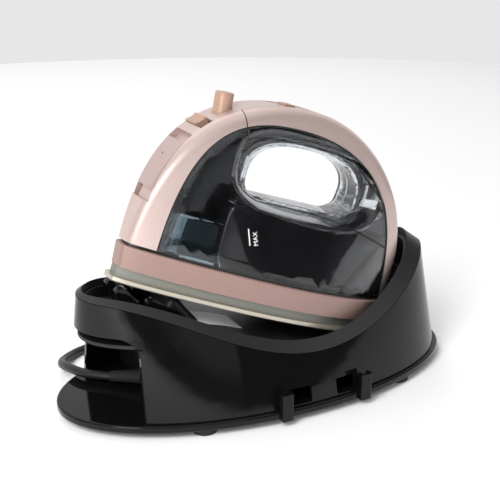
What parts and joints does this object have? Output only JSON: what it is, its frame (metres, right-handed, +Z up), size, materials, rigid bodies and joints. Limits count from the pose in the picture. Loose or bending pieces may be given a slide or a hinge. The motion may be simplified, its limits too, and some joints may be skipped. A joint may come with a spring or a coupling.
{
  "type": "cordless steam iron with stand",
  "caption": "Cordless steam iron with a pointed soleplate, arched handle and clear smoked body, seated nose up in the cradle of its oval mains stand.",
  "frame": {"origin": "on the floor, under the middle of the stand", "axes": "+Z up, -X towards the iron's nose, +Y to the side where the lead is put away"},
  "size_m": [0.307, 0.2674, 0.216],
  "materials": {
    "black_gloss": "polished black moulding",
    "black_satin": "satin black moulding",
    "rubber_black": "moulded rubber",
    "lead_black": "smooth flexible sheath",
    "contact_metal": "plated contact metal",
    "sole_coating": "smooth champagne ceramic coating",
    "cast_metal": "bead blasted casting",
    "element_steel": "heat stained sheath",
    "skirt_rose": "darker rose bronze metallic lacquer",
    "cover_rose": "pale rose pearl lacquer",
    "copper": "copper metallic lacquer",
    "smoke_clear": "clear smoked plastic",
    "tank_clear": "clear grey plastic",
    "inner_plastic": "plain inner moulding",
    "board": "green circuit board",
    "lamp": "clear light pipe"
  },
  "bodies": {
    "stand": {"base_plate": "black_gloss", "rubber_feet": "rubber_black", "stand_shell": "black_gloss", "rim_band": "black_satin", "tray": "black_satin", "cord_bay": "black_satin", "iron_rest": "black_satin", "terminal_housing": "black_satin", "stand_contacts": "contact_metal", "cord_gland": "rubber_black", "power_cord": "lead_black", "cord_coil": "lead_black", "mains_plug": "lead_black", "plug_blades": "contact_metal"},
    "iron": {"soleplate": "sole_coating", "heater_casting": "cast_metal", "heating_element": "element_steel", "element_terminals": "contact_metal", "steam_chamber_cover": "cast_metal", "thermostat": "element_steel", "thermal_fuse": "element_steel", "heat_skirt": "skirt_rose", "body_floor": "inner_plastic", "body_screws": "contact_metal", "nose_cover": "cover_rose", "handle_cover": "cover_rose", "fill_surround": "cover_rose", "hatch_hinge_pin": "contact_metal", "filler_neck": "tank_clear", "button_spring": "contact_metal", "control_panel": "cover_rose", "circuit_board": "board", "key_switch": "inner_plastic", "indicator_lamps": "lamp", "window_left": "smoke_clear", "window_right": "smoke_clear", "water_tank": "tank_clear", "inner_housing": "black_satin", "handle_core": "black_satin", "pump_block": "black_satin", "valve_seat": "inner_plastic", "heel_terminal_block": "inner_plastic", "heel_contacts": "contact_metal"},
    "fill_cover": {"fill_cover": "cover_rose", "fill_seal": "rubber_black"},
    "steam_lever": {"steam_lever": "copper"},
    "valve_rod": {"steam_valve_rod": "contact_metal"},
    "spray_button": {"spray_button": "copper", "spray_plunger": "inner_plastic"},
    "temperature_key": {"temperature_key": "copper"}
  },
  "joints": [
    {"name": "iron_lift", "type": "slide", "parent": "stand", "child": "iron", "axis": [-0.342, 0, 0.9397], "range_m": [0, 0.16]},
    {"name": "fill_cover_hinge", "type": "hinge", "parent": "iron", "child": "fill_cover", "pos_m": [-0.06248, 0, 0.18373], "axis": [0, 1, 0], "range_deg": [0, 75]},
    {"name": "steam_lever_slide", "type": "slide", "parent": "iron", "child": "steam_lever", "axis": [0, -1, 0], "range_m": [0, 0.008]},
    {"name": "valve_rod_slide", "type": "slide", "parent": "iron", "child": "valve_rod", "axis": [0.3289, 0, 0.9444], "range_m": [0, 0.002]},
    {"name": "spray_button_press", "type": "slide", "parent": "iron", "child": "spray_button", "axis": [-0.2028, 0, -0.9792], "range_m": [0, 0.003], "stiffness_N_per_m": 500, "springref_m": -0.002, "deforming": ["button_spring"]},
    {"name": "temperature_key_press", "type": "slide", "parent": "iron", "child": "temperature_key", "axis": [-0.2184, 0, -0.9759], "range_m": [0, 0.0005], "stiffness_N_per_m": 1500, "springref_m": -0.0005}
  ],
  "couplings": [
    {"joint": "valve_rod_slide", "follows": "steam_lever_slide", "ratio": 0.25}
  ]
}
